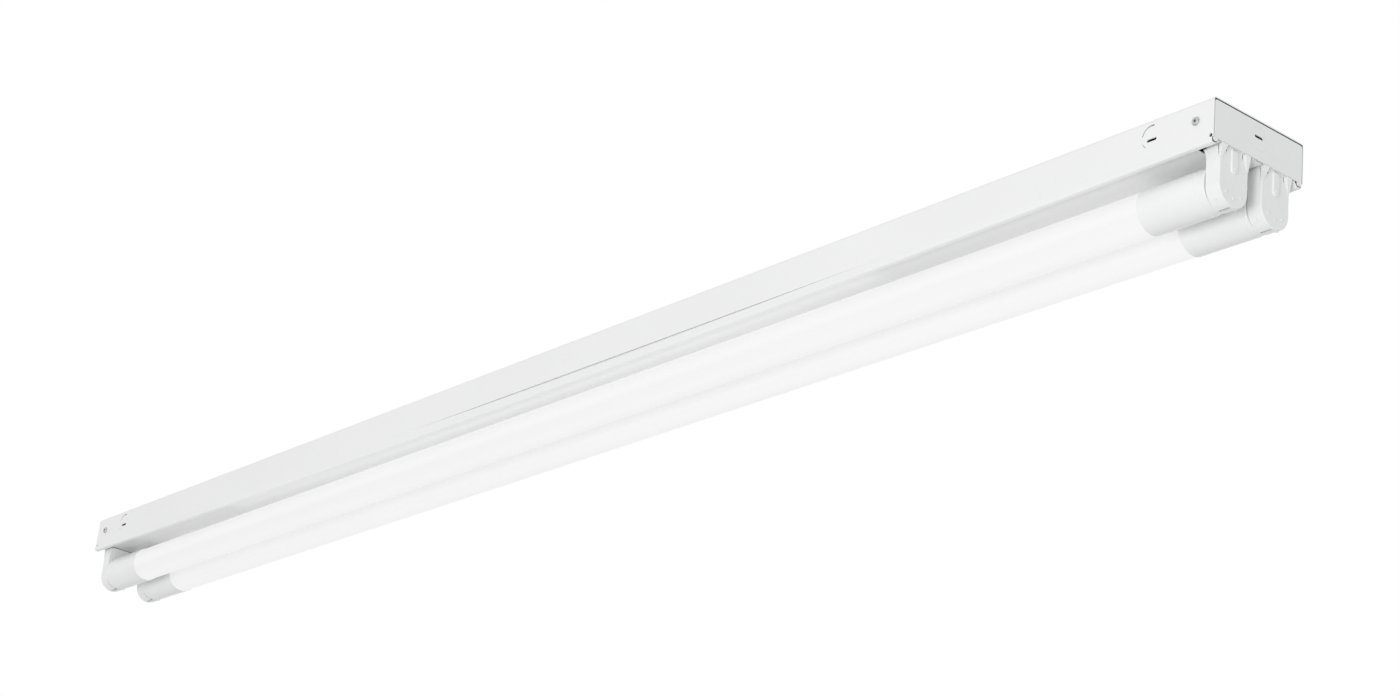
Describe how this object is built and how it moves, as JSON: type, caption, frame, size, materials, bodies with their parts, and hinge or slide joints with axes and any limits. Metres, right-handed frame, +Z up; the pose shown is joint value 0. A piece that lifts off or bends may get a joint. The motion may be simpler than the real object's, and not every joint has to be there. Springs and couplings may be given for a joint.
{
  "type": "strip light fixture",
  "caption": "Open ceiling strip light: white sheet-steel wireway with a clip-in cover, end plates with knockouts and turn-lock lampholders carrying straight frosted tube lamps.",
  "frame": {"origin": "centre of the ceiling face on the back of the channel", "axes": "+X along the fixture, +Z up towards the ceiling, -Y towards the front lamp"},
  "size_m": [1.225, 0.0772, 0.0586],
  "materials": {
    "white_enamel": "semi-gloss white enamel",
    "white_enamel_cover": "semi-gloss white enamel",
    "white_enamel_plate": "semi-gloss white enamel",
    "rivet_aluminium": "painted over with the housing",
    "holder_plastic": "white moulded",
    "rotor_plastic": "white moulded",
    "contact_brass": "bright",
    "lamp_diffuser": "frosted",
    "lamp_cap": "white moulded",
    "pin_brass": "nickel plated",
    "led_board": "white solder mask",
    "driver_board": "green solder mask",
    "terminal_plastic": "off-white moulded",
    "zinc_steel": "zinc plated",
    "earth_insulation": "green insulation",
    "line_insulation": "black insulation",
    "neutral_insulation": "white insulation",
    "clip_plastic": "natural white",
    "bushing_plastic": "black moulded"
  },
  "bodies": {
    "fixture": {"channel_housing": "white_enamel", "wireway_cover": "white_enamel_cover", "end_plate_left": "white_enamel_plate", "end_plate_right": "white_enamel_plate", "end_plate_rivets": "rivet_aluminium", "lampholder_front_left": "holder_plastic", "contacts_front_left": "contact_brass", "lampholder_front_right": "holder_plastic", "contacts_front_right": "contact_brass", "lampholder_rear_left": "holder_plastic", "contacts_rear_left": "contact_brass", "lampholder_rear_right": "holder_plastic", "contacts_rear_right": "contact_brass", "terminal_block": "terminal_plastic", "terminal_clamps": "contact_brass", "terminal_screws": "zinc_steel", "earth_screw": "zinc_steel", "earth_lug": "pin_brass", "earth_lead": "earth_insulation", "line_lead": "line_insulation", "neutral_lead": "neutral_insulation", "jumper_left": "neutral_insulation", "jumper_right": "line_insulation", "lead_clips": "clip_plastic", "supply_bushing": "bushing_plastic"},
    "lamp_front": {"lamp_front_tube": "lamp_diffuser", "lamp_front_cap_left": "lamp_cap", "lamp_front_cap_right": "lamp_cap", "lamp_front_pins": "pin_brass", "lamp_front_led_board": "led_board", "lamp_front_driver": "driver_board"},
    "rotor_front_left_body": {"rotor_front_left": "rotor_plastic"},
    "rotor_front_right_body": {"rotor_front_right": "rotor_plastic"},
    "lamp_rear": {"lamp_rear_tube": "lamp_diffuser", "lamp_rear_cap_left": "lamp_cap", "lamp_rear_cap_right": "lamp_cap", "lamp_rear_pins": "pin_brass", "lamp_rear_led_board": "led_board", "lamp_rear_driver": "driver_board"},
    "rotor_rear_left_body": {"rotor_rear_left": "rotor_plastic"},
    "rotor_rear_right_body": {"rotor_rear_right": "rotor_plastic"}
  },
  "joints": [
    {"name": "lamp_front_turn", "type": "hinge", "parent": "fixture", "child": "lamp_front", "pos_m": [0, -0.01725, -0.045], "axis": [1, 0, 0], "range_deg": [-90, 0]},
    {"name": "rotor_front_left_turn", "type": "hinge", "parent": "fixture", "child": "rotor_front_left_body", "pos_m": [-0.6, -0.01725, -0.045], "axis": [1, 0, 0], "range_deg": [-90, 0]},
    {"name": "rotor_front_right_turn", "type": "hinge", "parent": "fixture", "child": "rotor_front_right_body", "pos_m": [0.6, -0.01725, -0.045], "axis": [1, 0, 0], "range_deg": [-90, 0]},
    {"name": "lamp_rear_turn", "type": "hinge", "parent": "fixture", "child": "lamp_rear", "pos_m": [0, 0.01725, -0.045], "axis": [1, 0, 0], "range_deg": [-90, 0]},
    {"name": "rotor_rear_left_turn", "type": "hinge", "parent": "fixture", "child": "rotor_rear_left_body", "pos_m": [-0.6, 0.01725, -0.045], "axis": [1, 0, 0], "range_deg": [-90, 0]},
    {"name": "rotor_rear_right_turn", "type": "hinge", "parent": "fixture", "child": "rotor_rear_right_body", "pos_m": [0.6, 0.01725, -0.045], "axis": [1, 0, 0], "range_deg": [-90, 0]}
  ],
  "couplings": [
    {"joint": "rotor_front_left_turn", "follows": "lamp_front_turn", "ratio": 1},
    {"joint": "rotor_front_right_turn", "follows": "lamp_front_turn", "ratio": 1},
    {"joint": "rotor_rear_left_turn", "follows": "lamp_rear_turn", "ratio": 1},
    {"joint": "rotor_rear_right_turn", "follows": "lamp_rear_turn", "ratio": 1}
  ]
}
